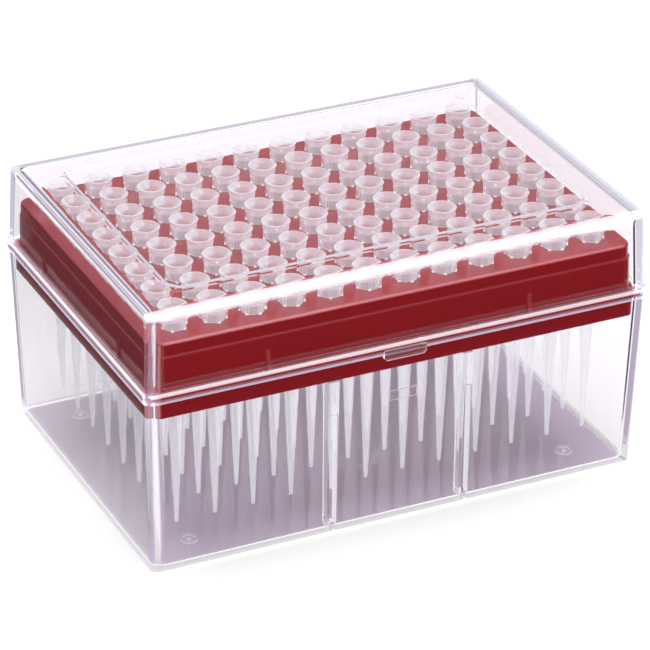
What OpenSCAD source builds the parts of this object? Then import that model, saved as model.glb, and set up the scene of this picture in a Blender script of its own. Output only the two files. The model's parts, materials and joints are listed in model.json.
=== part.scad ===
// Box of 96 pipette tips.
// A clear base carries a moulded rack insert, the rack carries the tips, and a clear lid turns on
// a snap-in hinge along the back. Millimetres, +Z up, origin at the centre of the base's underside.
// The long side runs along X and the front faces -Y.

/* [Tips] */
// Distance between neighbouring tips, both ways
pitch = 9; // [8:0.1:12]
// Length of a tip from its mouth to its point
tip_len = 51.3; // [40:0.1:70]
// Height of a tip's head above the deck
head_h = 3.9; // [3.6:0.1:7]
// Height of the flared collar at the mouth
collar_h = 1.6; // [1.2:0.1:2.4]
// How far the collar's rim stands out past the ribs
collar_flare = 0.25; // [0.1:0.05:0.4]
// How far the foot of the collar lies inside the ribs
collar_set = 0.08; // [0.05:0.01:0.15]
// Outer diameter of the barrel where it passes the deck
barrel_d = 4.75; // [4:0.05:5.7]
// Outer diameter of the point
point_d = 0.84; // [0.7:0.02:1.2]
// Wall of the barrel at the deck and of the socket
tip_wall = 0.4; // [0.3:0.05:0.5]
// Wall at the point
point_wall = 0.2; // [0.15:0.01:0.25]
// How far the core of the head stands out past the barrel
core_step = 0.2; // [0.1:0.05:0.3]
// Height of the straight land that seals on a pipette nozzle
land_h = 2.6; // [1.6:0.1:3]
// Width of the flare inside the mouth
mouth_flare = 0.65; // [0.3:0.05:0.75]
// Ribs around a head
rib_count = 6; // [4:1:12]
// Thickness of a rib
rib_t = 0.6; // [0.4:0.05:0.9]
// Width of deck that each rib rests on
rib_seat = 0.35; // [0.25:0.05:0.5]
// Height of the flare inside the mouth
flare_h = 1; // [0.8:0.1:1.4]

/* [Base] */
// Room from the end columns of tips to the outside of the short walls at the rim
end_room = 9.7; // [9:0.05:14]
// Room from the front and back rows of tips to the outside of the long walls at the rim
side_room = 9.2; // [9:0.05:14]
// Air under the points of the tips
point_gap = 6.35; // [3:0.05:12]
// Thickness of the floor
floor_t = 1.3; // [0.8:0.1:2.5]
// Thickness of the walls
wall_t = 1.2; // [0.9:0.05:1.6]
// How much each wall leans in from the rim to the floor
base_draft = 1.2; // [0:0.05:2]
// Radius of the upright corners, outside
corner_r = 1.5; // [1.2:0.1:5]
// Radius of the upright corners, inside
corner_fillet_r = 2.2; // [1.6:0.1:4]
// Radius of the edge around the underside
foot_r = 0.6; // [0.3:0.1:1]
// Radius between the floor and the inside of the walls
floor_fillet_r = 1; // [0.4:0.1:1.5]
// Height of the lip that stands on the rim
lip_h = 0.7; // [0.5:0.1:1.5]
// Width of the shoulder outside the lip
lip_step = 0.5; // [0.35:0.05:0.6]

/* [Wall posts] */
// Distance from the middle of the box to each post
post_x = 16; // [10:0.5:24]
// Width of a post where it meets the wall
post_w = 2.8; // [2.4:0.1:4]
// Width of a post at its inner face
post_face_w = 1.7; // [1.6:0.1:2.4]
// Depth of a post, from the outside of the wall at the rim
post_reach = 5.15; // [4:0.05:6.2]
// Width of the coring groove in the outside of a post
groove_w = 1.8; // [1:0.1:2]
// Depth of the groove at its upper end
groove_depth = 0.8; // [0.4:0.05:1]
// Height of the groove's upper end
groove_top = 30; // [20:0.5:34]
// Height of the hollow in the foot of a post
foot_hollow_h = 2.9; // [2:0.1:6]
// Wall left around the hollow
foot_hollow_wall = 0.5; // [0.4:0.05:0.7]

/* [Moulded marks] */
// Distance from the middle to the rings on the floor, along the box
mark_x = 46; // [40:0.5:52]
// Distance from the middle to the rings on the floor, across the box
mark_y = 30; // [24:0.5:34]
// Outer diameter of the ring on the floor near each corner
ring_d = 4; // [3:0.1:6]
// Width of that ring
ring_w = 0.5; // [0.3:0.05:0.8]
// Height of that ring
ring_h = 0.3; // [0.2:0.05:0.5]
// Height of the nib in the middle of the ring
nib_h = 0.5; // [0.3:0.05:0.8]
// Width of the finger bar on the front, under the thumb tab
bar_w = 6.5; // [4:0.5:14]
// Height of the finger bar
bar_h = 2.2; // [1:0.1:4]
// How far the finger bar stands out
bar_out = 0.4; // [0.2:0.05:0.8]
// Distance from the rim down to the finger bar
bar_drop = 9.2; // [6:0.1:16]

/* [Rack insert] */
// Height of the deck above the shoulder of the base
deck_rise = 12.85; // [8:0.05:18]
// Thickness of the deck
deck_t = 1.5; // [1:0.1:2.5]
// Clearance around a barrel in its hole
hole_clear = 0.27; // [0.15:0.01:0.3]
// Wall of the short sleeve under each hole
sleeve_wall = 0.8; // [0.5:0.05:1]
// Length of a sleeve under the deck
sleeve_h = 2.5; // [1:0.1:5]
// Gap between the rack's wall and the lid's wall at the flange
rack_gap = 1; // [0.6:0.1:1.6]
// Lean of the rack's wall between the flange and the step
rack_draft = 0.2; // [0:0.05:0.5]
// Height of the narrower band around the deck
step_h = 3.3; // [2:0.1:5]
// Depth of the step under that band
step_in = 0.25; // [0.1:0.05:0.4]
// Thickness of the rack's wall at the step
rack_wall = 1.3; // [1:0.1:1.8]
// Radius of the rack's upright corners
rack_corner_r = 2.8; // [2.2:0.1:5]
// Radius of the edge around the deck
deck_edge_r = 0.8; // [0.4:0.1:1.2]
// Thickness of the flange that rests on the lip
flange_t = 1; // [0.8:0.1:1.5]
// Depth of the skirt below the shoulder of the base
skirt_drop = 4.1; // [2:0.1:6]
// Clearance between the skirt and the base at the rim
skirt_clear = 0.3; // [0.25:0.05:0.6]
// Distance from the middle to the gussets on the long sides
gusset_x = 31; // [20:0.5:40]
// Distance from the middle to the gussets on the short sides
gusset_y = 21.5; // [12:0.5:28]
// Height of a gusset
gusset_h = 4.7; // [3:0.1:6]
// Thickness of a gusset
gusset_t = 0.9; // [0.6:0.1:1.5]
// Clearance between the foot of a gusset and the lid's wall
gusset_clear = 0.25; // [0.2:0.05:0.5]

/* [Lid] */
// Air over the mouths of the tips
mouth_gap = 2.8; // [1:0.1:5]
// Thickness of the lid
lid_t = 1.2; // [0.9:0.05:1.5]
// How much each wall leans in from the band to the top
lid_draft = 0.7; // [0:0.05:1.5]
// Radius of the edge around the top, outside
lid_edge_r = 0.4; // [0.2:0.1:1]
// Radius between the underside of the top and the inside of the walls
lid_fillet_r = 2; // [0.6:0.1:2.2]
// Height of the rim band
band_h = 2.3; // [2:0.1:4]
// How far the band stands out past the base
band_out = 0.55; // [0.4:0.05:0.9]
// Clearance between the band and the lip
band_clear = 0.15; // [0.1:0.05:0.25]
// Gap between the band and the shoulder of the base
band_gap = 0.2; // [0.1:0.05:0.4]
// Gap between the lid's ledge and the rack's flange
ledge_gap = 0.1; // [0.05:0.05:0.3]
// Distance from the top's edge to the raised panel
panel_margin = 10; // [6:0.5:16]
// Height of the raised panel
panel_h = 0.3; // [0.2:0.05:1]
// Width of the panel's sloping border
panel_slope = 0.5; // [0.3:0.1:2]
// Corner radius of the panel
panel_r = 3; // [2.5:0.1:6]
// Width of the thumb tab
tab_w = 10; // [8:0.5:20]
// How far the thumb tab hangs below the band
tab_drop = 1.3; // [0.8:0.1:3]
// Thickness of the thumb tab
tab_t = 0.8; // [0.6:0.1:1.2]
// How far the thumb tab stands out past the band
tab_out = 0.35; // [0.2:0.05:0.6]
// Bevel of the thumb tab's lower corners
tab_bevel = 0.6; // [0.3:0.1:0.9]

/* [Hinge] */
// Distance from the middle to each hinge
hinge_x = 30; // [20:1:45]
// Distance from the back of the band to the pivot
pivot_out = 2.7; // [2.6:0.1:3.2]
// Diameter of the lid's hinge pins
pin_d = 2.1; // [1.6:0.1:2.4]
// Clearance around a pin
pin_clear = 0.07; // [0.03:0.01:0.1]
// Wall of the lid's knuckle around its pins
knuckle_wall = 0.95; // [0.6:0.05:1.2]
// Width of the lid's knuckle
knuckle_w = 8; // [5:0.5:14]
// Thickness of each of the base's ears
ear_t = 2.6; // [1.8:0.1:4]
// Side clearance between knuckle and ears
ear_gap = 0.3; // [0.2:0.05:0.5]
// Gap between the band and the front of the ears
knuckle_gap = 0.35; // [0.25:0.05:0.5]
// How far the pins stop short of the outer faces of the ears
pin_short = 0.2; // [0:0.05:0.6]
// How far the ears reach past the pivot; their corners stop the open lid
ear_reach = 2.15; // [2:0.05:2.2]
// Height of an ear's brace under the pivot
ear_drop = 9; // [5:0.5:14]

/* [Hidden] */

columns = 12;
rows = 8;
// Depth by which one form sinks into another that it is moulded with
weld = 0.3;
// Thickness of the slices that a drafted block is stretched between
slice_t = 0.01;
facets = 48;
round_facets = 32;
edge_steps = 6;
// Share of an edge's inset that comes off the radius of its corners
corner_share = 0.6;
// How far a cutting form reaches past the face that it cuts
past = 1;
// Bevel at the outer edge of a tip's mouth
mouth_bevel = 0.12;
// Height over which the barrel's bore opens into the head's
bore_blend = 0.6;
// Distance between the ears' reach and the band as it sweeps past
sweep_gap = 0.03;

// Heights of the stack, from the table up
point_z = floor_t + point_gap;
mouth_z = point_z + tip_len;
deck_z = mouth_z - head_h;
rim_z = deck_z - deck_rise;
lip_z = rim_z + lip_h;
flange_z = lip_z + flange_t;
step_z = deck_z - step_h;
deck_under_z = deck_z - deck_t;
skirt_z = rim_z - skirt_drop;
ledge_z = flange_z + ledge_gap;
band_z = rim_z + band_gap;
band_top_z = band_z + band_h;
lid_under_z = mouth_z + mouth_gap;
lid_z = lid_under_z + lid_t;

// Half sizes of the base's outside at the rim; every other outline is an inset from this one
half_x = (columns - 1) * pitch / 2 + end_room;
half_y = (rows - 1) * pitch / 2 + side_room;
flange_inset = lip_step + lip_step / 5;
skirt_inset = wall_t + skirt_clear;
rack_inset = lid_t + rack_gap;
rack_top_inset = rack_inset + rack_draft + step_in;
rack_hollow_inset = rack_inset + rack_draft + rack_wall;
skirt_r = corner_fillet_r + skirt_clear;

// Tip and hole sizes
hole_d = barrel_d + 2 * hole_clear;
rib_d = hole_d + 2 * rib_seat;
collar_r = rib_d / 2 + collar_flare;
collar_foot_r = rib_d / 2 - collar_set;
core_d = barrel_d + 2 * core_step;
socket_d = core_d - 2 * tip_wall;
mouth_d = socket_d + 2 * mouth_flare;
sleeve_d = hole_d + 2 * sleeve_wall;
seat_h = tip_len - head_h;
collar_base = tip_len - collar_h;
land_top = tip_len - flare_h;
land_base = land_top - land_h;

// Hinge axis
pivot_y = half_y + band_out + pivot_out;
pivot_z = band_z;
knuckle_r = pin_d / 2 + knuckle_wall;
// The ears stay inside this radius where the band sweeps past them
ear_sweep_r = pivot_out - pin_clear - sweep_gap;

clear_plastic = [0.88, 0.88, 0.95, 0.35];
rack_red = [0.52, 0.1, 0.13];
tip_white = [0.93, 0.92, 0.93, 0.8];

function tip_x(column) = (column - (columns + 1) / 2) * pitch;
function tip_y(row) = ((rows + 1) / 2 - row) * pitch;

// Tips drop in at any turn, so each has a turn of its own, in degrees
function tip_lot(column, row) = (4 * column * column + column * row + column) % 13;
function tip_turn(column, row) =
    2 + 30 * floor(tip_lot(column, row) / 6.5) + 3 * (tip_lot(column, row) % 4);

// Inset of the base's outside at height z
function base_inset(z) = base_draft * (1 - z / rim_z);

// Slices of a quarter-round edge: distance from the face, and extra inset there
function edge_slices(r) =
    [for (i = [0 : edge_steps])
        let (a = 90 * i / edge_steps)
            [r * (1 - sin(a)), r * (1 - cos(a))]];

// Rounded rectangle inside the rim outline
module outline(inset, r) {
    x = half_x - inset;
    y = half_y - inset;
    square([2 * x, 2 * (y - r)], center = true);
    square([2 * (x - r), 2 * y], center = true);
    for (sx = [-1, 1], sy = [-1, 1])
        translate([sx * (x - r), sy * (y - r)])
            circle(r, $fn = facets);
}

// Straight block on that outline
module block(z0, z1, inset, r)
    translate([0, 0, z0])
        linear_extrude(z1 - z0)
            outline(inset, r);

// Four thin discs at the corners of an outline, for hull()
module slice(z, inset, r)
    for (sx = [-1, 1], sy = [-1, 1])
        translate([sx * (half_x - inset - r), sy * (half_y - inset - r), z])
            cylinder(h = slice_t, r = r, $fn = facets);

// Repeats a form mirrored to both signs of X
module both_ends()
    for (s = [0, 1])
        mirror([s, 0, 0])
            children();

// Repeats a form mirrored to both signs of Y
module both_sides()
    for (s = [0, 1])
        mirror([0, s, 0])
            children();

// Outline in Y and Z, given as points, drawn out along X around the middle
module side_profile(points, width)
    rotate([90, 0, 90])
        linear_extrude(width, center = true)
            polygon(points);

// Places a form at every tip
module at_tips()
    for (column = [1 : columns], row = [1 : rows])
        translate([tip_x(column), tip_y(row), 0])
            children();

// ---- Base ----

module base_outside()
    hull() {
        for (e = edge_slices(foot_r))
            slice(e[0], base_inset(e[0]) + e[1], corner_r - corner_share * e[1]);
        slice(rim_z - slice_t, 0, corner_r);
    }

module base_inside()
    hull() {
        for (e = edge_slices(floor_fillet_r))
            slice(floor_t + e[0], base_inset(floor_t) + wall_t + e[1],
                  corner_fillet_r - corner_share * e[1]);
        slice(rim_z, wall_t, corner_fillet_r);
        slice(lip_z + past, wall_t, corner_fillet_r);
    }

// Plan of a post, narrower at its inner face, with an inset all round
module post_plan(inset)
    polygon([[-post_w / 2 + inset, -half_y], [post_w / 2 - inset, -half_y],
             [post_face_w / 2 - inset, -(half_y - post_reach + inset)],
             [-post_face_w / 2 + inset, -(half_y - post_reach + inset)]]);

// Post on the inside of a long wall, rooted half way into the drafted wall
module post() {
    foot_z = floor_t - weld;
    top_z = skirt_z - weld;
    rear_y = -(half_y - post_reach);
    translate([post_x, 0, 0])
        intersection() {
            linear_extrude(skirt_z)
                post_plan(0);
            side_profile([[-(half_y - base_inset(foot_z) - wall_t / 2), foot_z], [rear_y, foot_z],
                          [rear_y, top_z], [-(half_y - base_inset(top_z) - wall_t / 2), top_z]],
                         post_w);
        }
}

// Groove up the outside of a post. Its floor is upright, so it draws out of the mould and runs out
// in the leaning wall above the foot.
module post_groove() {
    floor_y = -(half_y - base_inset(groove_top) - groove_depth);
    translate([post_x, 0, 0])
        side_profile([[-half_y - past, foot_r + weld], [floor_y, foot_r + weld], [floor_y, groove_top],
                      [-half_y - past, groove_top]],
                     groove_w);
}

// Hollow that cores the foot of a post from below, behind the whole wall
module foot_hollow()
    translate([post_x, 0, 0])
        intersection() {
            linear_extrude(2 * foot_hollow_h, center = true)
                post_plan(foot_hollow_wall);
            side_profile([[-(half_y - base_draft - foot_hollow_wall), -past], [0, -past],
                          [0, foot_hollow_h], [-(half_y - base_draft - foot_hollow_wall), foot_hollow_h]],
                         post_w);
        }

// Moulded ring with a centre nib near each corner of the floor
module floor_mark()
    translate([mark_x, mark_y, floor_t - slice_t]) {
        difference() {
            cylinder(h = ring_h, d = ring_d, $fn = facets);
            translate([0, 0, -past])
                cylinder(h = ring_h + 2 * past, d = ring_d - 2 * ring_w, $fn = facets);
        }
        cylinder(h = nib_h, d1 = 2 * nib_h, d2 = nib_h, $fn = round_facets);
    }

// Finger bar on the front, following the drafted wall
module front_bar() {
    z0 = rim_z - bar_drop - bar_h;
    z1 = rim_z - bar_drop;
    side_profile([[-(half_y - base_inset(z0) + bar_out), z0], [-(half_y - base_inset(z1) + bar_out), z1],
                  [-(half_y - base_inset(z1) - weld), z1], [-(half_y - base_inset(z0) - weld), z0]],
                 bar_w);
}

// Two ears with the holes for a pair of pins. The square corner at the back stops the open lid, and
// the bevelled one at the front lets the band sweep past.
module hinge_ear() {
    front = -pivot_out + knuckle_gap;
    bevel_y = -sqrt(pow(ear_sweep_r, 2) - pow(ear_reach, 2));
    bevel_z = sqrt(pow(ear_sweep_r, 2) - pow(front, 2));
    translate([hinge_x, pivot_y, pivot_z])
        both_ends()
            translate([knuckle_w / 2 + ear_gap + ear_t / 2, 0, 0])
                difference() {
                    side_profile([[half_y - base_inset(rim_z - ear_drop) - weld - pivot_y,
                                   -ear_drop - band_gap],
                                  [ear_reach, -ear_reach], [ear_reach, ear_reach],
                                  [bevel_y, ear_reach], [front, bevel_z], [front, -2 * band_gap],
                                  [half_y - weld - pivot_y, -2 * band_gap]],
                                 ear_t);
                    rotate([0, 90, 0])
                        cylinder(h = ear_t + 2 * past, r = pin_d / 2 + pin_clear, center = true,
                                 $fn = round_facets);
                }
}

module base_box()
    color(clear_plastic)
        difference() {
            union() {
                difference() {
                    union() {
                        base_outside();
                        block(rim_z - weld, lip_z, lip_step, corner_r - lip_step);
                        front_bar();
                    }
                    base_inside();
                }
                both_ends() {
                    both_sides() {
                        post();
                        floor_mark();
                    }
                    hinge_ear();
                }
            }
            both_ends()
                both_sides() {
                    post_groove();
                    foot_hollow();
                }
        }

// ---- Lid ----

module lid_outside()
    hull() {
        slice(ledge_z - weld, 0, corner_r);
        for (e = edge_slices(lid_edge_r))
            slice(lid_z - e[0] - slice_t, lid_draft + e[1], corner_r - corner_share * e[1]);
    }

module lid_inside()
    hull() {
        slice(ledge_z - 2 * weld, lid_t, corner_fillet_r);
        for (e = edge_slices(lid_fillet_r))
            slice(lid_under_z - e[0] - slice_t, lid_draft + lid_t + e[1],
                  corner_fillet_r - corner_share * e[1]);
    }

// Raised panel of the top, and the same form under it so that the lid keeps its thickness
module panel(z, grow)
    hull() {
        slice(z - slice_t, panel_margin - panel_slope - grow, panel_r);
        slice(z + panel_h - slice_t, panel_margin - grow, panel_r);
    }

module thumb_tab()
    translate([0, -(half_y + band_out + tab_out - tab_t), band_z])
        rotate([90, 0, 0])
            linear_extrude(tab_t)
                polygon([[-tab_w / 2, band_h / 2], [-tab_w / 2, -tab_drop + tab_bevel],
                         [-tab_w / 2 + tab_bevel, -tab_drop], [tab_w / 2 - tab_bevel, -tab_drop],
                         [tab_w / 2, -tab_drop + tab_bevel], [tab_w / 2, band_h / 2]]);

module hinge_knuckle()
    translate([hinge_x, pivot_y, pivot_z]) {
        rotate([0, 90, 0])
            cylinder(h = knuckle_w, r = knuckle_r, center = true, $fn = round_facets);
        rotate([0, 90, 0])
            cylinder(h = knuckle_w + 2 * (ear_gap + ear_t - pin_short), d = pin_d, center = true,
                     $fn = round_facets);
        side_profile([[-pivot_out - weld, 0], [0, 0], [0, knuckle_r], [-pivot_out - weld, knuckle_r]],
                     knuckle_w);
    }

module lid()
    color(clear_plastic)
        difference() {
            union() {
                lid_outside();
                block(band_z, band_top_z, -band_out, corner_r + band_out);
                panel(lid_z, 0);
                thumb_tab();
                both_ends()
                    hinge_knuckle();
            }
            lid_inside();
            block(band_z - past, ledge_z, lip_step - band_clear, corner_r - lip_step + band_clear);
            panel(lid_under_z, lid_t / 2);
        }

// ---- Rack insert ----

module rack_outside() {
    hull() {
        slice(lip_z, rack_inset, rack_corner_r);
        slice(step_z - slice_t, rack_inset + rack_draft, rack_corner_r);
    }
    hull() {
        slice(step_z - weld, rack_top_inset, rack_corner_r);
        for (e = edge_slices(deck_edge_r))
            slice(deck_z - e[0] - slice_t, rack_top_inset + e[1], rack_corner_r - corner_share * e[1]);
    }
}

module gusset()
    linear_extrude(gusset_t, center = true)
        polygon([[-weld, 0], [rack_gap - gusset_clear, 0], [-rack_draft / 2, gusset_h],
                 [-weld - rack_draft, gusset_h]]);

module gussets()
    translate([0, 0, flange_z]) {
        both_ends()
            both_sides()
                translate([gusset_x, half_y - rack_inset, 0])
                    rotate([90, 0, 90])
                        gusset();
        both_ends()
            both_sides()
                translate([half_x - rack_inset, gusset_y, 0])
                    rotate([90, 0, 0])
                        gusset();
    }

module rack_insert()
    color(rack_red)
        difference() {
            union() {
                difference() {
                    union() {
                        rack_outside();
                        block(lip_z, flange_z, flange_inset, corner_r - flange_inset);
                        block(skirt_z, lip_z + slice_t, skirt_inset, skirt_r);
                    }
                    block(skirt_z - past, flange_z, skirt_inset + rack_wall, skirt_r - rack_wall / 2);
                    block(flange_z - past, deck_under_z, rack_hollow_inset, rack_corner_r - rack_wall);
                }
                at_tips()
                    translate([0, 0, deck_under_z - sleeve_h])
                        cylinder(h = sleeve_h + weld, d = sleeve_d, $fn = round_facets);
                gussets();
            }
            at_tips()
                translate([0, 0, deck_under_z - sleeve_h - past])
                    cylinder(h = sleeve_h + deck_t + 2 * past, d = hole_d, $fn = round_facets);
        }

// ---- Tips ----

// Outline of the ribs seen from above: square-ended teeth around the core
module rib_outline() {
    circle(core_d / 2 - tip_wall / 2, $fn = round_facets);
    for (i = [0 : rib_count - 1])
        rotate(360 * i / rib_count)
            translate([0, -rib_t / 2])
                square([rib_d / 2, rib_t]);
}

// One tip with its point at z = 0
module tip()
    difference() {
        union() {
            rotate_extrude($fn = round_facets)
                polygon([[0, 0], [point_d / 2, 0], [barrel_d / 2, seat_h], [core_d / 2, seat_h],
                         [core_d / 2, collar_base], [collar_foot_r, collar_base],
                         [collar_foot_r, tip_len - 0.6 * collar_h],
                         [collar_r - 0.6 * (collar_r - collar_foot_r), tip_len - 0.3 * collar_h],
                         [collar_r, tip_len - mouth_bevel], [collar_r - mouth_bevel, tip_len], [0, tip_len]]);
            translate([0, 0, seat_h])
                linear_extrude(head_h - collar_h + mouth_bevel)
                    rib_outline();
        }
        rotate_extrude($fn = round_facets)
            polygon([[0, -past], [point_d / 2 - point_wall, -past], [point_d / 2 - point_wall, 0],
                     [barrel_d / 2 - tip_wall, seat_h - bore_blend], [socket_d / 2, land_base],
                     [socket_d / 2, land_top], [mouth_d / 2, tip_len], [mouth_d / 2, tip_len + past],
                     [0, tip_len + past]]);
    }

// One column of tips across the rack, as an eight-channel pipette picks it up
module tips_col(column)
    color(tip_white)
        for (row = [1 : rows])
            translate([tip_x(column), tip_y(row), point_z])
                rotate(tip_turn(column, row))
                    tip();

base_box();
lid();
rack_insert();
tips_col(1);  // tips_col_01
tips_col(2);  // tips_col_02
tips_col(3);  // tips_col_03
tips_col(4);  // tips_col_04
tips_col(5);  // tips_col_05
tips_col(6);  // tips_col_06
tips_col(7);  // tips_col_07
tips_col(8);  // tips_col_08
tips_col(9);  // tips_col_09
tips_col(10);  // tips_col_10
tips_col(11);  // tips_col_11
tips_col(12);  // tips_col_12
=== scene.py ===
"""Finishes, stage and light for a box of pipette tips."""

import json
import math

import bpy
from bpy.props import FloatProperty, FloatVectorProperty, PointerProperty
from mathutils import Matrix, Vector


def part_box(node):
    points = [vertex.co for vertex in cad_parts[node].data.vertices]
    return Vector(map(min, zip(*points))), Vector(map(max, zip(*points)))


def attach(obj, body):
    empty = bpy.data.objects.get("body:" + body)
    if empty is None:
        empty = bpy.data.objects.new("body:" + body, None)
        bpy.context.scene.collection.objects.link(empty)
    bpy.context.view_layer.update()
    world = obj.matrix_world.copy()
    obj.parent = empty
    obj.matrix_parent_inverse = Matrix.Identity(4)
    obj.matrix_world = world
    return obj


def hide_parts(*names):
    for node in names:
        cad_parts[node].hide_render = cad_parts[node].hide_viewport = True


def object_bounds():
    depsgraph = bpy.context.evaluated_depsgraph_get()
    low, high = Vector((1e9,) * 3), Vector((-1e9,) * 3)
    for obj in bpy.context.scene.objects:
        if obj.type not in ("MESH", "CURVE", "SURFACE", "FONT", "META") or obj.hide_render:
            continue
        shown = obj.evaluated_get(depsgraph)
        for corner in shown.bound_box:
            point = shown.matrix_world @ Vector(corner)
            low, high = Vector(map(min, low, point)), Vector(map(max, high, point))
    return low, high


bl_info = {
    "name": "Pipette Tip Box",
    "version": (1, 0, 0),
    "blender": (4, 5, 0),
    "location": "3D View > Sidebar > Tip Box",
    "description": "Gives a hinged box of pipette tips its plastics, its stage and its light",
    "category": "Object",
}

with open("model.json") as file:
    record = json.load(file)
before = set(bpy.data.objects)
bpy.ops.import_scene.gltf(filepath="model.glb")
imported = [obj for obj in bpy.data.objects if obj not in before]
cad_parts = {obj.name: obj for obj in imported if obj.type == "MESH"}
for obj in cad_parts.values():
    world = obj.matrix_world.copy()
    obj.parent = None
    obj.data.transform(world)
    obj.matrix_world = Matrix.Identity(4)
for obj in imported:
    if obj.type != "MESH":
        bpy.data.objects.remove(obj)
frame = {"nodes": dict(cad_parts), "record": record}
CAD_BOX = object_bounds()
NODES = frame["nodes"]
CLEAR_NODES = ("base_box", "lid")
RACK_NODE = "rack_insert"
LID_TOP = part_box("lid")[1].z
DECK_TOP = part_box(RACK_NODE)[1].z
BAND_FOOT, BAND_TOP = 0.0424, 0.0447  # levels of the lid's band
BAND_SLACK = 0.0002  # how far above its top a point still counts as on the band
WALL_REACH = (0.0592, 0.0407)  # half length and half width of the lid's wall at the band
BAND_START = (0.0002, 0.0004)  # distances outside that wall between which the band's face begins
BAND_LIMIT = 0.0008  # what lies further outside it isn't the band
TAB_REACH = WALL_REACH[1] + 0.0007  # what lies further in front is the thumb tab
STEP_LEVEL = 0.05175  # level of the step in the rack's wall
GUSSETS = ((0, 0.031), (1, 0.0215))  # the rack's gussets: an axis, and their distance from the middle along it
GUSSET_LEVELS = (0.0441, 0.0486)
GUSSET_SLACK = 0.0005  # how far inside the wall's outer face a point still counts as on a gusset
CORNER_TURN = (0.43, 0.49)  # X times Y of a normal, which is 0.5 in the middle of a rounded corner
CORNER_DEPTH = 0.004  # how far inside the outer faces such a corner can lie
DECK_FACE = (DECK_TOP - 0.0004, DECK_TOP - 0.0001)  # levels between which the deck's face begins
FEET_START = (DECK_TOP - 0.0003, DECK_TOP - 0.0001)  # the same for the feet of the tips' ribs
FEET_END = (DECK_TOP + 0.0007, DECK_TOP + 0.0002)  # levels between which those feet end
FEET_BLUR = 0.0001  # width over which they begin outside the core of the head
PAINTED_GLOW_TURN = (DECK_TOP - 0.002, DECK_TOP)  # levels where the barrels' painted glow turns into the heads'
NECK = (DECK_TOP - 0.004, DECK_TOP - 0.001)  # levels where a tip's barrel turns into its head
COLLAR = (DECK_TOP + 0.0014, DECK_TOP + 0.0024)  # levels where the ribs turn into the collar
DARK_RISE = (0.62, 0.52)  # upward parts of a direction between which the surroundings turn dark to mirrored rays, a painted dark reflection
MOST_CROSSINGS = 4.5  # a plain mirror image has come through fewer skins than this
LAMPS = {  # place and width of the lamp of each setting
    "overhead": ((0, 0.1, 1.1), 1.0),
    "front": ((0.2, -1.2, 0.6), 0.8),
    "left": ((-1.2, -0.1, 0.6), 0.8),
    "back": ((0.4, 1.2, 0.5), 0.8),
}
TIP_NODES = tuple(sorted(name for name in NODES if name.startswith("tips_col")))


# ---------------------------------------------------------------- settings

def colour(name, description, default):
    return FloatVectorProperty(name=name, description=description, subtype="COLOR", size=3,
                               min=0, max=1, default=default)


def length(name, description, default):
    return FloatProperty(name=name, description=description, unit="LENGTH", min=0, default=default)


def share(name, description, default):
    return FloatProperty(name=name, description=description, subtype="FACTOR",
                         min=0, max=1, default=default)


def level(name, description, default):
    return FloatProperty(name=name, description=description + ", where 1 shows a colour as it is",
                         min=0, max=10, default=default)


class ClearSettings(bpy.types.PropertyGroup):
    """Crystal styrene of the base and the lid"""
    tint: colour("Tint", "Colour that the clear plastic gives to what is behind it", (0.985, 0.975, 0.99))
    shade: colour("Shade", "Light that one skin of the plastic lets through to what it shades",
                  (0.95, 0.94, 0.96))
    roughness: share("Roughness", "Haze of the polished skin", 0.01)
    smooth: FloatProperty(name="Smooth", description="Steepest step between facets that reads as one curve",
                          subtype="ANGLE", default=math.radians(24))
    index: FloatProperty(name="Index", description="Refractive index of the plastic",
                         min=1, max=2, default=1.59)
    wave_size: length("Wave size", "Distance between the slow waves that moulding leaves", 0.018)
    wave_depth: length("Wave depth", "Depth of those waves", 0.00002)
    # painted highlights: the colours from here to the line blur are emission laid on the lid's edges, on the
    # lines of its band and on the base's foot edges, and the lengths set how wide they are
    edge: colour("Edge", "Glow of the edges round the lid's top", (0.2, 0.19, 0.24))
    painted_long_edge_highlight: colour("Long edge", "Further glow of its long edges, which gather the light overhead",
                      (0.5, 0.5, 0.51))
    corner: colour("Corner", "Glow of the upright edges", (0.02, 0.02, 0.05))
    painted_foot_edge_highlight: colour("Foot edge", "Glow of the long edges of the base's foot", (0.45, 0.43, 0.45))
    painted_band_top_highlight: colour("Band top", "Glow of the upper edge of the lid's band", (0.6, 0.58, 0.6))
    painted_band_foot_highlight: colour("Band foot", "Glow of its lower edge", (0.3, 0.28, 0.4))
    edge_width: length("Edge width", "Width of the glowing edges of the lid", 0.002)
    painted_foot_edge_width: length("Foot width", "Width of the glowing edge of the foot", 0.001)
    painted_top_line_width: length("Top line", "Width of the glow along the upper edge of the band", 0.0006)
    painted_foot_line_width: length("Foot line", "The same along its lower edge", 0.0004)
    painted_line_blur: length("Line blur", "Width over which those two lines fade", 0.0003)
    # painted glow: the glow colours below are emission that takes the place of the plastic once a ray has
    # mirrored more often than the glow depth, standing in for light caught in the walls; the thumb tab's stands
    # in for the red behind it
    glow: colour("Glow", "Colour of the light that is caught inside the lid and leaves at its edges",
                 (0.72, 0.69, 0.78))
    painted_base_glow: colour("Base glow", "The same for the base, which gathers the tone of the floor",
                      (0.5, 0.43, 0.54))
    painted_tab_glow: colour("Tab glow", "The same for the thumb tab, which gathers the red behind it",
                     (0.24, 0.06, 0.08))
    glow_depth: FloatProperty(name="Glow depth", min=1, max=20, default=2.5,
                              description="Number of mirrorings after which light counts as caught")


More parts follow.
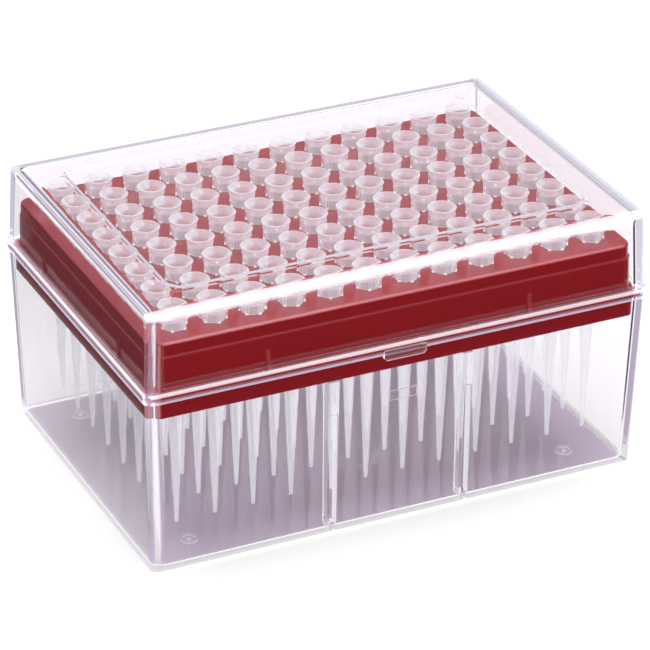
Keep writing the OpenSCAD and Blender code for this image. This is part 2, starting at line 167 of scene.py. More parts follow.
class RackSettings(bpy.types.PropertyGroup):
    """Dark red polypropylene of the rack insert"""
    red: colour("Red", "Colour of the plastic", (0.37, 0.012, 0.018))
    deep_red: colour("Deep red", "Colour of its darker flow marks", (0.3, 0.01, 0.016))
    # painted highlights: the edge and bright edge colours are emission laid on the rack's edges, its step and
    # its gussets, and the widths and blur below set how wide those lines are
    edge: colour("Edge", "Shine of the edges round the deck, of the step and of the gussets",
                 (0.07, 0.022, 0.026))
    painted_bright_edge_highlight: colour("Bright edge", "Shine of the upright edges, and further shine of the deck's long ones",
                        (0.2, 0.1, 0.11))
    # painted reflection: an emission laid on the deck's face for the haze it mirrors from above
    painted_deck_reflection: colour("Veil", "Haze that the polished deck mirrors from above", (0.06, 0.05, 0.055))
    edge_width: length("Edge width", "Width of the shine on the edges", 0.0006)
    painted_step_line: length("Step line", "Half width of the shine on the step", 0.0002)
    painted_gusset_line: length("Gusset line", "The same on a gusset", 0.0004)
    painted_line_blur: length("Line blur", "Width over which those two fade", 0.0002)
    roughness: share("Roughness", "Roughness of the satin skin", 0.2)
    coat: share("Coat", "Weight of the polished top of the skin", 0.3)
    grain_size: length("Grain size", "Distance between the grains of the moulded skin", 0.0006)
    coat_roughness: share("Coat roughness", "Roughness of that top", 0.09)
    index: FloatProperty(name="Index", description="Refractive index of the plastic",
                         min=1, max=2, default=1.49)
    grain_depth: length("Grain depth", "Depth of the grain", 0.000003)
    flow_size: length("Flow size", "Distance between the flow marks", 0.02)


class TipSettings(bpy.types.PropertyGroup):
    """Natural polypropylene of the tips"""
    white: colour("White", "Colour of the plastic", (0.94, 0.94, 0.98))
    cloud: colour("Cloud", "Colour of its thicker, cloudier parts", (0.88, 0.87, 0.9))
    cover: share("Cover", "Share of what lies behind that one skin of the collar hides, seen square on", 0.32)
    window: share("Window", "The same for the lower half of the heads, between the ribs", 0.22)
    frost: share("Frost", "The same for the barrels", 0.3)
    rim_cover: share("Rim cover", "The same seen along the skin, or cut, as at the feet of the ribs", 0.9)
    slim: share("Slim", "Cover of the thin barrels, as a share of what the heads' skin would have", 0.66)
    # painted glow: the next two shares set an emission of the plastic's white that stands in for light
    # scattered inside the barrels and the heads
    painted_milk_glow: share("Milk", "Light that the milky plastic of the barrels scatters from within", 0.28)
    painted_head_glow: share("Head milk", "The same for the heads", 0.22)
    # painted highlight: further emission on the cut feet of the ribs
    painted_rib_foot_highlight: share("Foot milk", "Further light from the cut feet of the ribs", 0.4)
    roughness: share("Roughness", "Roughness of the skin", 0.22)
    index: FloatProperty(name="Index", description="Refractive index of the plastic",
                         min=1, max=2, default=1.49)
    grain_size: length("Grain size", "Distance between the grains of the skin", 0.0004)
    grain_depth: length("Grain depth", "Depth of the grain", 0.000004)
    cloud_size: length("Cloud size", "Distance between the cloudy parts", 0.004)
    pitch: length("Pitch", "Distance between neighbouring tips", 0.009)
    core: length("Core", "Radius that the ribs stand out from", 0.00265)


class StageSettings(bpy.types.PropertyGroup):
    """Floor, lamps and camera"""
    floor: colour("Floor", "Colour of the floor", (0.8, 0.7, 0.83))
    floor_width: length("Floor width", "Width of the square floor", 8.0)
    lift: colour("Lift", "Light added to the open floor where it is seen, so that it shows as white",
                 (0.37, 0.45, 0.34))
    lit_reach: length("Lit reach", "Distance from the middle where the lamps' light on the floor fades", 0.4)
    dark_reach: length("Dark reach", "Distance where it is gone, and the floor glows white by itself", 0.9)
    under: colour("Under", "Light added to the floor below the box where it is seen", (0.1, 0.068, 0.088))
    mirrored_under: share("Mirrored under", "Share of the floor's own look below the box where it is mirrored",
                          0.22)
    # painted reflection: the next three settings make the floor near the box and the low surroundings dark only
    # to rays that a wall has mirrored
    painted_reflection_level: share("Sheen", "Brightness of the floor near the box where the plastic mirrors it", 0.02)
    apron: length("Apron", "Width of the floor left of the box over which that darkness comes in", 0.031)
    mirrored: share("Mirrored", "Level of the low surroundings where the plastic mirrors them", 0.1)
    overhead: level("Overhead", "Light that the lamp overhead gives to an upward face", 1.1)
    front: level("Front", "Light that the lamp in front gives to a face turned to it", 0.5)
    left: level("Left", "Light that the lamp on the left gives to a face turned to it", 0.25)
    back: level("Back", "Light that the lamp behind gives to a face turned to it", 0.7)
    bounce: level("Bounce", "Light that the floor gives to a downward face", 0.9)
    lens: FloatProperty(name="Lens", description="Focal length of the camera in millimetres",
                        min=1, default=199.32)
    place: FloatVectorProperty(name="Place", description="Place of the camera", subtype="TRANSLATION",
                               size=3, unit="LENGTH", default=(-0.305436, -0.643004, 0.407308))
    azimuth: FloatProperty(name="Azimuth", description="Turn of the camera about the upright",
                           subtype="ANGLE", default=math.radians(-25.605))
    elevation: FloatProperty(name="Elevation", description="Height of the camera as an angle",
                             subtype="ANGLE", default=math.radians(27.984))
    roll: FloatProperty(name="Roll", description="Roll of the camera", subtype="ANGLE",
                        default=math.radians(0.502))
    shift: FloatVectorProperty(name="Shift", description="Sideways and upward shift of the lens", size=2,
                               default=(-0.01263, -0.00172))


class TipBoxSettings(bpy.types.PropertyGroup):
    """All settings of the tip box"""
    clear: PointerProperty(type=ClearSettings)
    rack: PointerProperty(type=RackSettings)
    tips: PointerProperty(type=TipSettings)
    stage: PointerProperty(type=StageSettings)


# ---------------------------------------------------------------- node helpers

class Tree:
    """A node tree with short calls to add and join its nodes"""

    def __init__(self, tree):
        self.tree = tree
        tree.nodes.clear()
        self.column = 0

    def add(self, kind, **values):
        node = self.tree.nodes.new(kind)
        node.location = (self.column * 220, 0)
        self.column += 1
        for key, value in values.items():
            setattr(node, key, value)
        return node

    def join(self, source, target):
        self.tree.links.new(source, target)

    def set(self, node, **values):
        for name, value in values.items():
            node.inputs[name.replace("_", " ")].default_value = value


def rgba(value):
    """A colour with full alpha, as the sockets take it"""
    return (*value, 1.0)


def plastic(name):
    """A new material: its tree, its Principled shader and its output"""
    material = bpy.data.materials.new(name)
    material.use_nodes = True
    material.cycles.emission_sampling = "NONE"
    tree = Tree(material.node_tree)
    shader = tree.add("ShaderNodeBsdfPrincipled")
    output = tree.add("ShaderNodeOutputMaterial")
    return material, tree, shader, output


def feed(tree, value, socket):
    """Feeds a socket with another socket, a number or a colour"""
    if isinstance(value, bpy.types.NodeSocket):
        tree.join(value, socket)
    else:
        socket.default_value = value if isinstance(value, (int, float)) else rgba(value)


def maths(tree, operation, *values):
    """The result of a maths node on sockets or numbers"""
    node = tree.add("ShaderNodeMath", operation=operation)
    for slot, value in enumerate(values):
        feed(tree, value, node.inputs[slot])
    return node.outputs[0]


def product(tree, *values):
    """The product of sockets and numbers"""
    result = values[0]
    for value in values[1:]:
        result = maths(tree, "MULTIPLY", result, value)
    return result


def stretch(tree, value, low, high, start=0.0, end=1.0, kind="LINEAR"):
    """Goes from start to end while a value goes from low to high"""
    node = tree.add("ShaderNodeMapRange", interpolation_type=kind)
    for name, given in (("Value", value), ("From Min", low), ("From Max", high),
                        ("To Min", start), ("To Max", end)):
        feed(tree, given, node.inputs[name])
    return node.outputs["Result"]


def ramp(tree, value, low, high):
    """Rises smoothly from 0 to 1 between two values"""
    return stretch(tree, value, low, high, kind="SMOOTHSTEP")


def spread(tree, value, middle, share_down, share_up):
    """Spreads a noise value between two shares of a number"""
    return stretch(tree, value, 0.3, 0.7, middle * share_down, middle * share_up)


def mixed(tree, factor, first, second, blend="MIX"):
    """A colour between two sockets or colours"""
    node = tree.add("ShaderNodeMix", data_type="RGBA", blend_type=blend)
    ends = [socket for socket in node.inputs if socket.type == "RGBA"]
    for value, socket in ((factor, node.inputs["Factor"]), (first, ends[0]), (second, ends[1])):
        feed(tree, value, socket)
    return next(socket for socket in node.outputs if socket.type == "RGBA")


def tinted(tree, *pairs):
    """The sum of colours that each grow with a value"""
    total = None
    for value, tone in pairs:
        light = mixed(tree, value, (0, 0, 0), tone)
        total = light if total is None else mixed(tree, 1.0, total, light, "ADD")
    return total


def split_coordinate(tree, kind="Object"):
    """The X, Y and Z sockets of a point's place on the object, or of another coordinate"""
    place = tree.add("ShaderNodeTexCoord")
    split = tree.add("ShaderNodeSeparateXYZ")
    tree.join(place.outputs[kind], split.inputs[0])
    return [split.outputs[axis] for axis in ("X", "Y", "Z")]


def near(tree, distance, size, blur):
    """1 for distances up to a size, and less over the blur beyond it"""
    return ramp(tree, distance, size + blur, size)


def past(tree, place, reach):
    """How far a place lies outside a reach to both sides of the middle"""
    return maths(tree, "SUBTRACT", maths(tree, "ABSOLUTE", place), reach)


def between(tree, value, low, high):
    """1 where a value lies between two numbers, and 0 elsewhere"""
    return product(tree, maths(tree, "GREATER_THAN", value, low), maths(tree, "LESS_THAN", value, high))


def mix_shaders(tree, factor, first, second):
    """The first shader where the factor is 0, the second where it is 1"""
    node = tree.add("ShaderNodeMixShader")
    for value, socket in zip((factor, first, second), node.inputs):
        tree.join(value, socket)
    return node.outputs[0]


def emission(tree, tone, strength=1.0):
    """An emission shader with a colour or a socket of one"""
    node = tree.add("ShaderNodeEmission")
    feed(tree, tone, node.inputs["Color"])
    tree.set(node, Strength=strength)
    return node.outputs[0]


def bump_of(tree, height, shader, depth):
    """Lets a height raise the shader's surface by the given depth"""
    bump = tree.add("ShaderNodeBump")
    tree.set(bump, Strength=1.0, Distance=depth)
    tree.join(height, bump.inputs["Height"])
    tree.join(bump.outputs["Normal"], shader.inputs["Normal"])


def open_to_light(tree, shader, output, settings, painted_glow):
    """Lets lamps shine through the shader, and paints a glow colour in place of the plastic once a ray has
    mirrored more often than the glow depth
    """
    path = tree.add("ShaderNodeLightPath")
    # painted glow: emission in place of light caught in the walls
    caught = maths(tree, "GREATER_THAN", path.outputs["Glossy Depth"], settings.glow_depth)
    walls = mix_shaders(tree, caught, shader.outputs["BSDF"], emission(tree, painted_glow))
    through = tree.add("ShaderNodeBsdfTransparent")
    tree.set(through, Color=rgba(settings.shade))
    surface = mix_shaders(tree, path.outputs["Is Shadow Ray"], walls, through.outputs["BSDF"])
    tree.join(surface, output.inputs["Surface"])


def give(names, material):
    """Puts a material on CAD nodes"""
    for name in names:
        for slot in NODES[name].material_slots:
            slot.material = material


def wall_reach(name, height, drop):
    """Half length and half width of a piece's walls, no further than a drop from a level"""
    near = [vertex.co for vertex in NODES[name].data.vertices if abs(vertex.co.z - height) < drop]
    return max(abs(point.x) for point in near), max(-point.y for point in near)


# ---------------------------------------------------------------- node groups

def node_group(name, inputs, outputs):
    """A new shader node group with float sockets, its tree, and its input and output nodes"""
    group = bpy.data.node_groups.new(name, "ShaderNodeTree")
    for given in inputs:
        group.interface.new_socket(given, in_out="INPUT", socket_type="NodeSocketFloat")
    for result in outputs:
        group.interface.new_socket(result, in_out="OUTPUT", socket_type="NodeSocketFloat")
    tree = Tree(group)
    return tree, tree.add("NodeGroupInput").outputs, tree.add("NodeGroupOutput").inputs


def build_moulded_skin(name):
    """Builds the group that gives a moulded surface its slow drift and its fine grain"""
    tree, given, results = node_group(name, ("Grain", "Drift"), ("Height", "Drift"))
    place = tree.add("ShaderNodeTexCoord")
    for scale, result, detail, roughness in (("Grain", "Height", 3, 0.6), ("Drift", "Drift", 2, 0.5)):
        noise = tree.add("ShaderNodeTexNoise")
        tree.set(noise, Detail=detail, Roughness=roughness)
        tree.join(place.outputs["Object"], noise.inputs["Vector"])
        tree.join(given[scale], noise.inputs["Scale"])
        tree.join(noise.outputs["Fac"], results[result])


def build_box_edges(name):
    """Builds the group that finds the edges of an open box"""
    tree, given, results = node_group(name, ("Width", "Reach X", "Reach Y", "Level", "Way Out"),
                                      ("Upright", "Round", "Long"))
    x, y, z = split_coordinate(tree)
    along = past(tree, x, given["Reach X"])
    across = past(tree, y, given["Reach Y"])
    out = product(tree, maths(tree, "SUBTRACT", z, given["Level"]), given["Way Out"])
    for result, value in (
            ("Upright", maths(tree, "MINIMUM", along, across)),
            ("Round", maths(tree, "MINIMUM", maths(tree, "MAXIMUM", along, across), out)),
            ("Long", maths(tree, "MINIMUM", across, out))):
        widths = maths(tree, "DIVIDE", value, given["Width"])
        tree.join(ramp(tree, widths, -1.0, -0.5), results[result])


def placed_group(tree, name, build, **values):
    """Places a node group, which is built the first time, with its own values"""
    if name not in bpy.data.node_groups:
        build(name)
    node = tree.add("ShaderNodeGroup", node_tree=bpy.data.node_groups[name])
    tree.set(node, **values)
    return node.outputs


def moulded_skin(tree, grain_size, drift_size):
    """Height of the grain, and the drift, of a moulded surface"""
    return placed_group(tree, "Moulded skin", build_moulded_skin, Grain=1 / grain_size, Drift=1 / drift_size)


def box_edges(tree, width, reach, closed_level, way_out):
    """Masks of an open box: its upright edges, those round its closed side, and its two long ones there

    The way out is 1 for a box closed at the top, and -1 for one closed at the foot
    """
    found = placed_group(tree, "Box edges", build_box_edges, Width=width, Reach_X=reach[0], Reach_Y=reach[1],
                         Level=closed_level, Way_Out=way_out)
    return found["Upright"], found["Round"], found["Long"]


# ---------------------------------------------------------------- plastics

def band_masks(tree, parts, settings):
    """Masks along the upper and the lower edge of the lid's band, where painted highlights are laid"""
    out = maths(tree, "MAXIMUM", *[past(tree, parts[axis], WALL_REACH[axis]) for axis in (0, 1)])
    band = product(tree, ramp(tree, out, *BAND_START), maths(tree, "LESS_THAN", out, BAND_LIMIT),
                   maths(tree, "LESS_THAN", parts[2], BAND_TOP + BAND_SLACK))
    below_top = maths(tree, "SUBTRACT", BAND_TOP, parts[2])
    above_foot = maths(tree, "SUBTRACT", parts[2], BAND_FOOT)
    return (product(tree, band, near(tree, below_top, settings.painted_top_line_width, settings.painted_line_blur)),
            product(tree, band, near(tree, above_foot, settings.painted_foot_line_width, settings.painted_line_blur)))


def clear_styrene(settings, name):
    """Clear polished plastic of the lid or the base, with painted highlights on its edges and a painted glow in
    place of light caught in its walls
    """
    material, tree, shader, output = plastic("clear styrene of the " + name)
    parts = split_coordinate(tree)
    if name == "lid":
        upright, around, long = box_edges(tree, settings.edge_width, wall_reach(name, LID_TOP, 0.0006),
                                          LID_TOP, 1)
        painted_band_top_highlight, painted_band_foot_highlight = band_masks(tree, parts, settings)
        # painted highlights on the lid's upright edges, its top edges and the lines of its band
        light = tinted(tree, (upright, settings.corner), (around, settings.edge), (long, settings.painted_long_edge_highlight),
                       (painted_band_top_highlight, settings.painted_band_top_highlight), (painted_band_foot_highlight, settings.painted_band_foot_highlight))
        caught = settings.glow
    else:
        foot = CAD_BOX[0].z
        upright, _, long = box_edges(tree, settings.painted_foot_edge_width, wall_reach(name, foot, 0.001), foot, -1)
        # painted highlights on the base's upright edges and its foot edges
        light = tinted(tree, (upright, settings.corner), (long, settings.painted_foot_edge_highlight))
        caught = settings.painted_base_glow
    tree.join(light, shader.inputs["Emission Color"])
    tree.set(shader, Base_Color=rgba(settings.tint), IOR=settings.index, Transmission_Weight=1.0,
             Emission_Strength=1.0)
    skin = moulded_skin(tree, settings.wave_size, settings.wave_size * 4)
    bump_of(tree, skin["Height"], shader, settings.wave_depth)
    tree.join(spread(tree, skin["Drift"], settings.roughness, 0.6, 1.6), shader.inputs["Roughness"])
    # painted glow: the thumb tab glows with a painted red, the rest with the plastic's glow colour
    tab = maths(tree, "LESS_THAN", parts[1], -TAB_REACH)
    open_to_light(tree, shader, output, settings, mixed(tree, tab, caught, settings.painted_tab_glow))
    return material


def corner_mask(tree, parts, reach):
    """Marks the middle of the rounded upright corners, where the face is turned equally to both sides, for
    painted highlights
    """
    turned = split_coordinate(tree, "Normal")
    both = maths(tree, "ABSOLUTE", product(tree, turned[0], turned[1]))
    outer = maths(tree, "MINIMUM", *[past(tree, parts[axis], reach[axis]) for axis in (0, 1)])
    return product(tree, ramp(tree, both, *CORNER_TURN),
                   maths(tree, "GREATER_THAN", outer, -CORNER_DEPTH))


def gusset_mask(tree, parts, axis, middle, wall, settings):
    """Marks the gussets at a distance from the middle, along X or Y, that stand out from the rack's wall, for
    painted highlights
    """
    off = maths(tree, "ABSOLUTE", past(tree, parts[axis], middle))
    out = maths(tree, "GREATER_THAN", maths(tree, "ABSOLUTE", parts[1 - axis]), wall - GUSSET_SLACK)
    return product(tree, near(tree, off, settings.painted_gusset_line, settings.painted_line_blur), out,
                   between(tree, parts[2], *GUSSET_LEVELS))


def red_polypropylene(settings):
    """Satin red plastic of the rack insert, with painted highlights on its rounded edges, its step and its
    gussets, and a painted reflection on its deck
    """
    material, tree, shader, output = plastic("red polypropylene")
    tree.set(shader, IOR=settings.index, Coat_Weight=settings.coat, Coat_Roughness=settings.coat_roughness,
             Emission_Strength=1.0)
    skin = moulded_skin(tree, settings.grain_size, settings.flow_size)
    tree.join(mixed(tree, skin["Drift"], settings.red, settings.deep_red), shader.inputs["Base Color"])
    bump_of(tree, skin["Height"], shader, settings.grain_depth)
    tree.join(spread(tree, skin["Drift"], settings.roughness, 0.85, 1.15), shader.inputs["Roughness"])
    parts = split_coordinate(tree)
    reach = wall_reach(RACK_NODE, DECK_TOP - 0.0009, 0.0004)
    upright, around, long = box_edges(tree, settings.edge_width, reach, DECK_TOP, 1)
    upright = maths(tree, "MAXIMUM", upright, corner_mask(tree, parts, reach))
    step = maths(tree, "ABSOLUTE", maths(tree, "SUBTRACT", parts[2], STEP_LEVEL))
    around = maths(tree, "MAXIMUM", around, near(tree, step, settings.painted_step_line, settings.painted_line_blur))
    for axis, middle in GUSSETS:
        gussets = gusset_mask(tree, parts, axis, middle, reach[1 - axis], settings)
        around = maths(tree, "MAXIMUM", around, gussets)
    # painted reflection: the deck's face gets an emission for the haze it mirrors from above
    deck = ramp(tree, parts[2], *DECK_FACE)
    # painted highlights on the rack's edges, its step and its gussets, and the painted reflection on the deck
    light = tinted(tree, (upright, settings.painted_bright_edge_highlight), (around, settings.edge),
                   (long, settings.painted_bright_edge_highlight), (deck, settings.painted_deck_reflection))
    tree.join(light, shader.inputs["Emission Color"])
    tree.join(shader.outputs["BSDF"], output.inputs["Surface"])
    return material


def rib_feet(tree, parts, settings):
    """Marks the cut feet of the ribs, found from the grid that the tips stand on"""
    squares = []
    for place in parts[:2]:
        cells = maths(tree, "DIVIDE", place, settings.pitch)
        local = maths(tree, "SUBTRACT", maths(tree, "FRACT", cells), 0.5)
        squares.append(maths(tree, "POWER", local, 2.0))
    radius = product(tree, maths(tree, "SQRT", maths(tree, "ADD", *squares)), settings.pitch)
    return product(tree, ramp(tree, parts[2], *FEET_END),
                   ramp(tree, radius, settings.core, settings.core + FEET_BLUR),
                   ramp(tree, parts[2], *FEET_START))


def natural_polypropylene(settings):
    """Milky plastic of the tips, clearer where it is seen square on, with a painted glow from within and
    painted highlights on the cut feet of the ribs
    """
    material, tree, shader, output = plastic("natural polypropylene")
    tree.set(shader, IOR=settings.index, Emission_Strength=1.0)
    skin = moulded_skin(tree, settings.grain_size, settings.cloud_size)
    parts = split_coordinate(tree)
    height = parts[2]
    feet = rib_feet(tree, parts, settings)
    tree.join(mixed(tree, skin["Drift"], settings.white, settings.cloud), shader.inputs["Base Color"])
    # painted glow: emission of the plastic's white for the barrels and the heads, and a painted highlight on
    # the cut feet of the ribs
    painted_milk_glow, painted_head_glow, painted_rib_foot_highlight = [[tone * share_lit for tone in settings.white] for share_lit in
                                  (settings.painted_milk_glow, settings.painted_head_glow, settings.painted_rib_foot_highlight)]
    painted_body_glow = mixed(tree, ramp(tree, height, *PAINTED_GLOW_TURN), painted_milk_glow, painted_head_glow)
    # the painted highlight on the feet of the ribs is added to the painted glow
    tree.join(mixed(tree, 1.0, painted_body_glow, tinted(tree, (feet, painted_rib_foot_highlight)), "ADD"),
              shader.inputs["Emission Color"])
    bump_of(tree, skin["Height"], shader, settings.grain_depth)
    tree.join(spread(tree, skin["Drift"], settings.roughness, 0.85, 1.15), shader.inputs["Roughness"])
    slant = tree.add("ShaderNodeLayerWeight")
    tree.set(slant, Blend=0.5)
    seen_along = maths(tree, "POWER", slant.outputs["Facing"], 2.0)
    square_on = stretch(tree, height, *NECK, settings.frost, settings.window)
    square_on = stretch(tree, height, *COLLAR, square_on, settings.cover)
    body = product(tree, stretch(tree, seen_along, 0.0, 1.0, square_on, settings.rim_cover),
                   stretch(tree, height, *NECK, settings.slim, 1.0))
    cover = maths(tree, "MAXIMUM", body, product(tree, feet, settings.rim_cover))
    tree.join(cover, shader.inputs["Alpha"])
    tree.join(shader.outputs["BSDF"], output.inputs["Surface"])
    return material


# ---------------------------------------------------------------- operators

def smooth_copy(name, material, angle):
    """Stands a merged copy with smooth curves in for a clear CAD node, so that light bends evenly in it"""
    bpy.ops.object.select_all(action="DESELECT")
    source = NODES[name]
    piece = bpy.data.objects.new(name + "_moulding", source.data.copy())
    bpy.context.scene.collection.objects.link(piece)
    piece.select_set(True)
    bpy.context.view_layer.objects.active = piece
    bpy.ops.mesh.customdata_custom_splitnormals_clear()
    bpy.ops.object.mode_set(mode="EDIT")
    bpy.ops.mesh.select_all(action="SELECT")
    bpy.ops.mesh.remove_doubles(threshold=0.000002)
    bpy.ops.object.mode_set(mode="OBJECT")
    bpy.ops.object.shade_smooth_by_angle(angle=angle)
    bpy.ops.object.modifier_add(type="WEIGHTED_NORMAL")
    piece.modifiers[-1].keep_sharp = True
    piece.modifiers[-1].weight = 100
    bpy.ops.object.modifier_apply(modifier=piece.modifiers[-1].name)
    piece.data.materials.clear()
    piece.data.materials.append(material)
    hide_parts(name)
    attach(piece, next(body for body, names in frame["record"]["behaviour"]["bodies"].items() if name in names))
    return piece


class TIPBOX_OT_clear_mouldings(bpy.types.Operator):
    """Gives the base and the lid their clear styrene"""
    bl_idname = "tipbox.clear_mouldings"
    bl_label = "Clear Mouldings"

    def execute(self, context):
        settings = context.scene.tip_box.clear
        for name in CLEAR_NODES:
            smooth_copy(name, clear_styrene(settings, name), settings.smooth)
        return {"FINISHED"}


class TIPBOX_OT_rack(bpy.types.Operator):
    """Gives the rack insert its satin red plastic"""
    bl_idname = "tipbox.rack"
    bl_label = "Rack Insert"

    def execute(self, context):
        give((RACK_NODE,), red_polypropylene(context.scene.tip_box.rack))
        return {"FINISHED"}


class TIPBOX_OT_tips(bpy.types.Operator):
    """Gives the tips their frosted natural plastic"""
    bl_idname = "tipbox.tips"
    bl_label = "Tips"

    def execute(self, context):
        give(TIP_NODES, natural_polypropylene(context.scene.tip_box.tips))
        return {"FINISHED"}


def lamp(name, place, target, size, share_of_white):
    """A square soft lamp that lights a face turned to it, at the target, to a share of white"""
    light = bpy.data.lights.new(name, "AREA")
    light.size = size
    light.energy = share_of_white * (math.pi * (Vector(target) - Vector(place)).length) ** 2
    light.cycles.use_multiple_importance_sampling = False
    holder = bpy.data.objects.new(name, light)
    bpy.context.scene.collection.objects.link(holder)
    holder.location = place
    holder.rotation_euler = (Vector(target) - Vector(place)).to_track_quat("-Z", "Y").to_euler()
    return holder


def plain_mirror(tree, path):
    """1 for a ray that a flat wall has mirrored once, 0 for light that has wandered through the walls"""
    once = maths(tree, "COMPARE", path.outputs["Glossy Depth"], 1.0, 0.5)
    return product(tree, once, maths(tree, "LESS_THAN", path.outputs["Transmission Depth"], MOST_CROSSINGS))


def studio_world(settings):
    """White where it is seen or looked at through plastic, and dark low down where a wall mirrors it"""
    world = bpy.data.worlds.new("studio")
    world.use_nodes = True
    tree = Tree(world.node_tree)
    path = tree.add("ShaderNodeLightPath")
    height = split_coordinate(tree, "Generated")[2]
    dim = product(tree, ramp(tree, height, *DARK_RISE), 1 - settings.mirrored)
    seen = maths(tree, "MAXIMUM", path.outputs["Is Camera Ray"], path.outputs["Is Glossy Ray"])
    seen = maths(tree, "MAXIMUM", seen, path.outputs["Is Transmission Ray"])
    left_over = maths(tree, "SUBTRACT", 1.0, product(tree, dim, plain_mirror(tree, path)))
    white = tree.add("ShaderNodeBackground")
    tree.set(white, Color=(1, 1, 1, 1))
    tree.join(product(tree, seen, left_over), white.inputs["Strength"])
    output = tree.add("ShaderNodeOutputWorld")
    tree.join(white.outputs[0], output.inputs["Surface"])
    bpy.context.scene.world = world


def floor_finish(settings):
    """Pale matt floor: lifted to white where it is seen, and dark near the box where a wall mirrors it"""
    material, tree, shader, output = plastic("floor")
    tree.set(shader, Base_Color=rgba(settings.floor), Roughness=0.8, Specular_IOR_Level=0.0)
    path = tree.add("ShaderNodeLightPath")
    x, y, _ = split_coordinate(tree)
    low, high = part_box("base_box")
    below = product(tree, *[maths(tree, "LESS_THAN", maths(tree, "ABSOLUTE", place), reach)
                            for place, reach in ((x, high.x), (y, -low.y))])
    through = path.outputs["Is Transmission Ray"]
    open_floor = maths(tree, "MAXIMUM", path.outputs["Is Camera Ray"],
                       product(tree, through, maths(tree, "SUBTRACT", 1.0, below)))
    squares = [maths(tree, "POWER", place, 2.0) for place in (x, y)]
    distance = maths(tree, "SQRT", maths(tree, "ADD", *squares))
    distant = product(tree, open_floor, ramp(tree, distance, settings.lit_reach, settings.dark_reach))
    light = tinted(tree, (open_floor, settings.lift), (distant, (1, 1, 1)),
                   (product(tree, through, below), settings.under))
    lifted = tree.add("ShaderNodeAddShader")
    tree.join(shader.outputs["BSDF"], lifted.inputs[0])
    tree.join(emission(tree, light), lifted.inputs[1])
    # painted reflection: in front of the box and along its left side, rays that a wall has mirrored see the
    # floor dark
    ahead = product(tree, maths(tree, "LESS_THAN", y, CAD_BOX[0].y),
                    maths(tree, "GREATER_THAN", x, CAD_BOX[0].x))
    beside = product(tree, maths(tree, "GREATER_THAN", y, CAD_BOX[0].y),
                     ramp(tree, x, CAD_BOX[0].x + settings.apron, CAD_BOX[0].x - settings.apron),
                     maths(tree, "LESS_THAN", x, CAD_BOX[0].x))
    mirrored = product(tree, plain_mirror(tree, path), maths(tree, "MAXIMUM", ahead, beside))
    lit = product(tree, maths(tree, "GREATER_THAN", path.outputs["Glossy Depth"], 0.5),
                  maths(tree, "SUBTRACT", 1.0, product(tree, below, settings.mirrored_under)))
    surface = mix_shaders(tree, lit, lifted.outputs[0], emission(tree, (1, 1, 1)))
    surface = mix_shaders(tree, mirrored, surface, emission(tree, (1, 0.97, 1), settings.painted_reflection_level))
    tree.join(surface, output.inputs["Surface"])
    return material


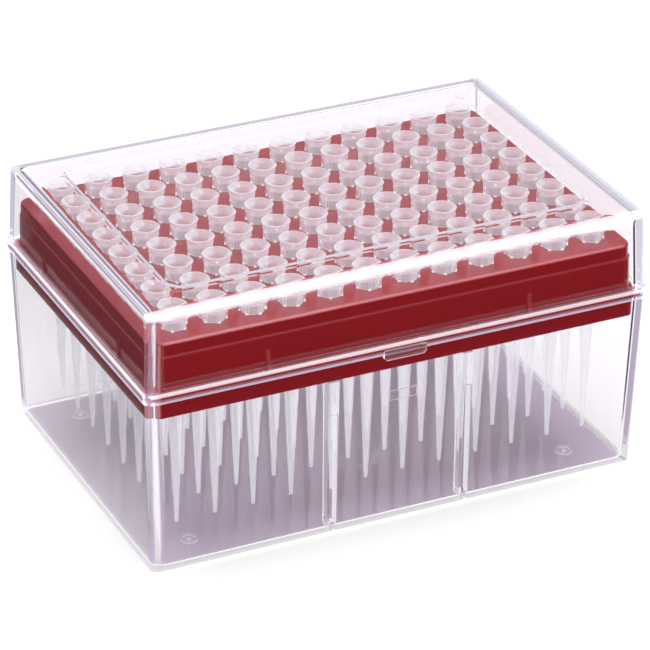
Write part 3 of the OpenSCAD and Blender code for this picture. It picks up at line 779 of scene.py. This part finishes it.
class TIPBOX_OT_stage(bpy.types.Operator):
    """Makes the floor, the world, the lamps and the camera"""
    bl_idname = "tipbox.stage"
    bl_label = "Stage"

    def execute(self, context):
        settings = context.scene.tip_box.stage
        scene = context.scene
        bpy.ops.object.select_all(action="DESELECT")
        bpy.ops.mesh.primitive_plane_add(size=settings.floor_width, location=(0, 0, CAD_BOX[0].z))
        floor = context.object
        floor.name = "floor"
        floor.data.materials.append(floor_finish(settings))
        studio_world(settings)
        middle = (CAD_BOX[0] + CAD_BOX[1]) / 2
        for name, (place, width) in LAMPS.items():
            holder = lamp(name, place, middle, width, getattr(settings, name))
            holder.visible_glossy = name != "back"
        low = Vector((0, 0, CAD_BOX[0].z + 0.0001))
        rise = lamp("bounce", low, low + Vector((0, 0, 0.5)), 1.0, settings.bounce)
        rise.visible_camera = rise.visible_glossy = rise.visible_transmission = False
        camera = bpy.data.cameras.new("camera")
        camera.sensor_width = 36.0
        camera.lens = settings.lens
        camera.shift_x, camera.shift_y = settings.shift
        camera.clip_start, camera.clip_end = 0.01, 50.0
        holder = bpy.data.objects.new("camera", camera)
        scene.collection.objects.link(holder)
        turn = (Matrix.Rotation(settings.azimuth, 4, "Z")
                @ Matrix.Rotation(math.pi / 2 - settings.elevation, 4, "X")
                @ Matrix.Rotation(settings.roll, 4, "Z"))
        holder.matrix_world = Matrix.Translation(settings.place) @ turn
        scene.camera = holder
        scene.view_settings.view_transform = "Standard"
        cycles = scene.cycles
        cycles.max_bounces = 32
        cycles.transmission_bounces = 32
        cycles.transparent_max_bounces = 48
        cycles.glossy_bounces = 16
        cycles.diffuse_bounces = 4
        # rare bright samples would show as white spots
        cycles.sample_clamp_direct = 3.0
        cycles.sample_clamp_indirect = 5.0
        cycles.caustics_reflective = False
        cycles.caustics_refractive = False
        return {"FINISHED"}


class TIPBOX_PT_panel(bpy.types.Panel):
    """Lists the settings and steps of the tip box"""
    bl_idname = "TIPBOX_PT_panel"
    bl_label = "Tip Box"
    bl_space_type = "VIEW_3D"
    bl_region_type = "UI"
    bl_category = "Tip Box"

    def draw(self, context):
        for group, operator in (("clear", TIPBOX_OT_clear_mouldings), ("rack", TIPBOX_OT_rack),
                                ("tips", TIPBOX_OT_tips), ("stage", TIPBOX_OT_stage)):
            box = self.layout.box()
            values = getattr(context.scene.tip_box, group)
            for name in values.bl_rna.properties.keys():
                if name not in ("rna_type", "name"):
                    box.prop(values, name)
            box.operator(operator.bl_idname)


CLASSES = (ClearSettings, RackSettings, TipSettings, StageSettings, TipBoxSettings,
           TIPBOX_OT_clear_mouldings, TIPBOX_OT_rack, TIPBOX_OT_tips, TIPBOX_OT_stage, TIPBOX_PT_panel)


def register():
    """Registers the classes and hangs the settings on the scene"""
    for item in CLASSES:
        bpy.utils.register_class(item)
    bpy.types.Scene.tip_box = PointerProperty(type=TipBoxSettings)


def unregister():
    """Takes the settings and the classes away again"""
    del bpy.types.Scene.tip_box
    for item in reversed(CLASSES):
        bpy.utils.unregister_class(item)


def main():
    """Registers the add-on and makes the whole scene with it"""
    register()
    bpy.ops.object.select_all(action="DESELECT")
    bpy.ops.tipbox.clear_mouldings()
    bpy.ops.tipbox.rack()
    bpy.ops.tipbox.tips()
    bpy.ops.tipbox.stage()


if __name__ == "__main__":
    main()
